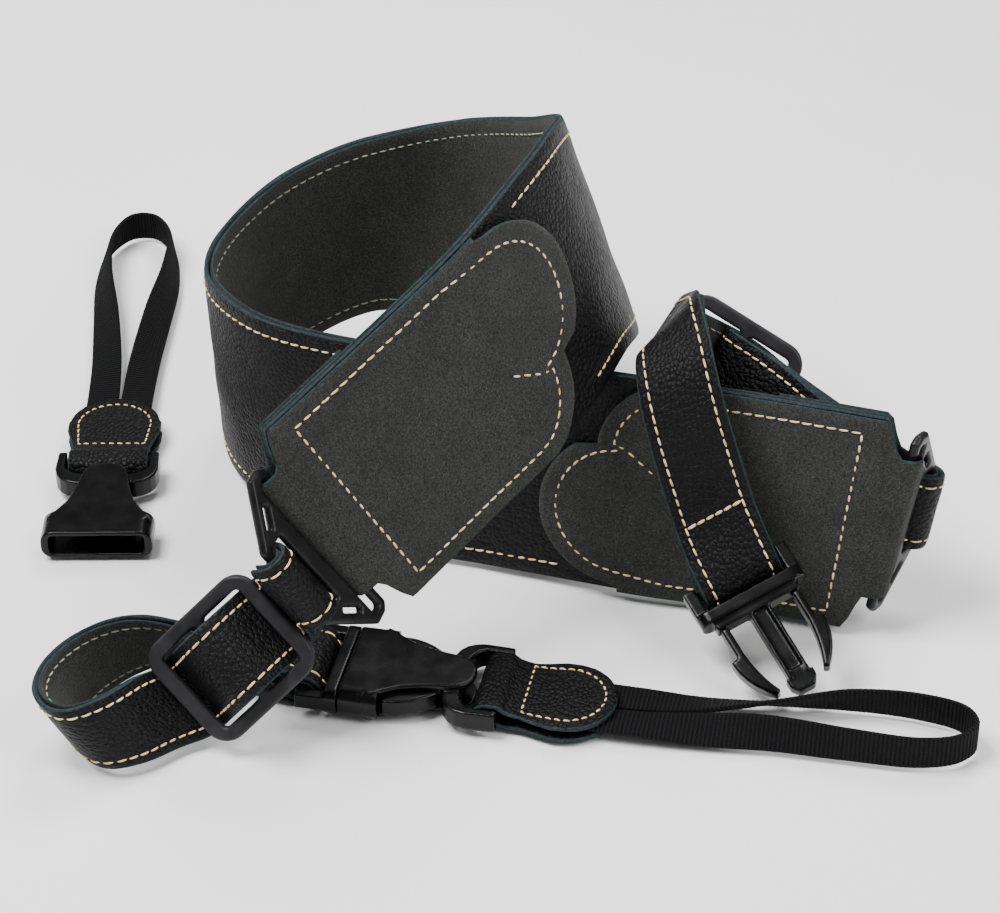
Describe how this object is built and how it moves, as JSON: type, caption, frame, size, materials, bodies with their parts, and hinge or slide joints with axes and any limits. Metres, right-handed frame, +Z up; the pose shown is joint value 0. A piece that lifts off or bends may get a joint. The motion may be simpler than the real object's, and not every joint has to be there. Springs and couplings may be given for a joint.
{
  "type": "neck harness for field glasses",
  "caption": "Wide leather neck strap with narrow adjustable straps, side-release buckles and detachable webbing loops, lying curled.",
  "frame": {"origin": "floor point under the middle of the whole object, at its lowest point", "axes": "+X to the right of the laid-out harness, +Y away from the two buckles at its front, +Z up from the floor"},
  "size_m": [0.2768, 0.2946, 0.1392],
  "materials": {
    "leather": "soft sheen, pebble grain",
    "suede": "matte nap",
    "plastic": "satin to glossy moulding",
    "coated": "matte moulding",
    "webbing": "ribbed weave",
    "thread": "waxed thread"
  },
  "bodies": {
    "root": {"neck_leather": "leather", "neck_lining": "suede", "neck_thread_upper": "thread", "neck_thread_lower": "thread", "end_patch_a": "suede", "patch_thread_a": "thread", "ring_a": "coated", "end_patch_b": "suede", "patch_thread_b": "thread", "ring_b": "coated", "strap_a_leather": "leather", "strap_a_lining": "suede", "strap_b_leather": "leather", "strap_b_lining": "suede", "slide_a": "coated", "slide_b": "coated", "male_buckle_a": "plastic", "female_buckle_a": "plastic", "tab_a": "leather", "tab_thread_a": "thread", "webbing_a": "webbing"},
    "latch_arm_a_left": {"latch_arm_a_left": "plastic"},
    "latch_arm_a_right": {"latch_arm_a_right": "plastic"},
    "male_buckle_b": {"male_buckle_b": "plastic"},
    "latch_arm_b_left": {"latch_arm_b_left": "plastic"},
    "latch_arm_b_right": {"latch_arm_b_right": "plastic"},
    "loop_b": {"female_buckle_b": "plastic"},
    "tab_b": {"tab_b": "leather", "tab_thread_b": "thread", "webbing_b": "webbing"}
  },
  "joints": [
    {"name": "latch_a_left", "type": "hinge", "parent": "root", "child": "latch_arm_a_left", "pos_m": [-0.03523, -0.09335, 0.00616], "axis": [0, 0, -1], "range_deg": [0, 6], "stiffness_Nm_per_rad": 0.5},
    {"name": "latch_a_right", "type": "hinge", "parent": "root", "child": "latch_arm_a_right", "pos_m": [-0.04004, -0.11666, 0.00616], "axis": [0, 0, 1], "range_deg": [0, 6], "stiffness_Nm_per_rad": 0.5},
    {"name": "latch_b_left", "type": "hinge", "parent": "male_buckle_b", "child": "latch_arm_b_left", "pos_m": [0.08929, -0.08989, 0.0227], "axis": [0.0913, 0.5122, -0.854], "range_deg": [0, 6], "stiffness_Nm_per_rad": 0.5},
    {"name": "latch_b_right", "type": "hinge", "parent": "male_buckle_b", "child": "latch_arm_b_right", "pos_m": [0.06841, -0.09856, 0.01527], "axis": [-0.0913, -0.5122, 0.854], "range_deg": [0, 6], "stiffness_Nm_per_rad": 0.5},
    {"name": "buckle_b_swing", "type": "hinge", "parent": "root", "child": "male_buckle_b", "pos_m": [0.07254, -0.0838, 0.02456], "axis": [-0.8775, -0.364, -0.3121], "range_deg": [0, 35]},
    {"name": "loop_b_lift", "type": "slide", "parent": "root", "child": "loop_b", "axis": [0, 0, 1], "range_m": [0, 0.06]},
    {"name": "tab_b_fold", "type": "hinge", "parent": "loop_b", "child": "tab_b", "pos_m": [-0.12156, -0.0015, 0.00616], "axis": [0.9999, 0.012, 0], "range_deg": [0, 40]}
  ]
}
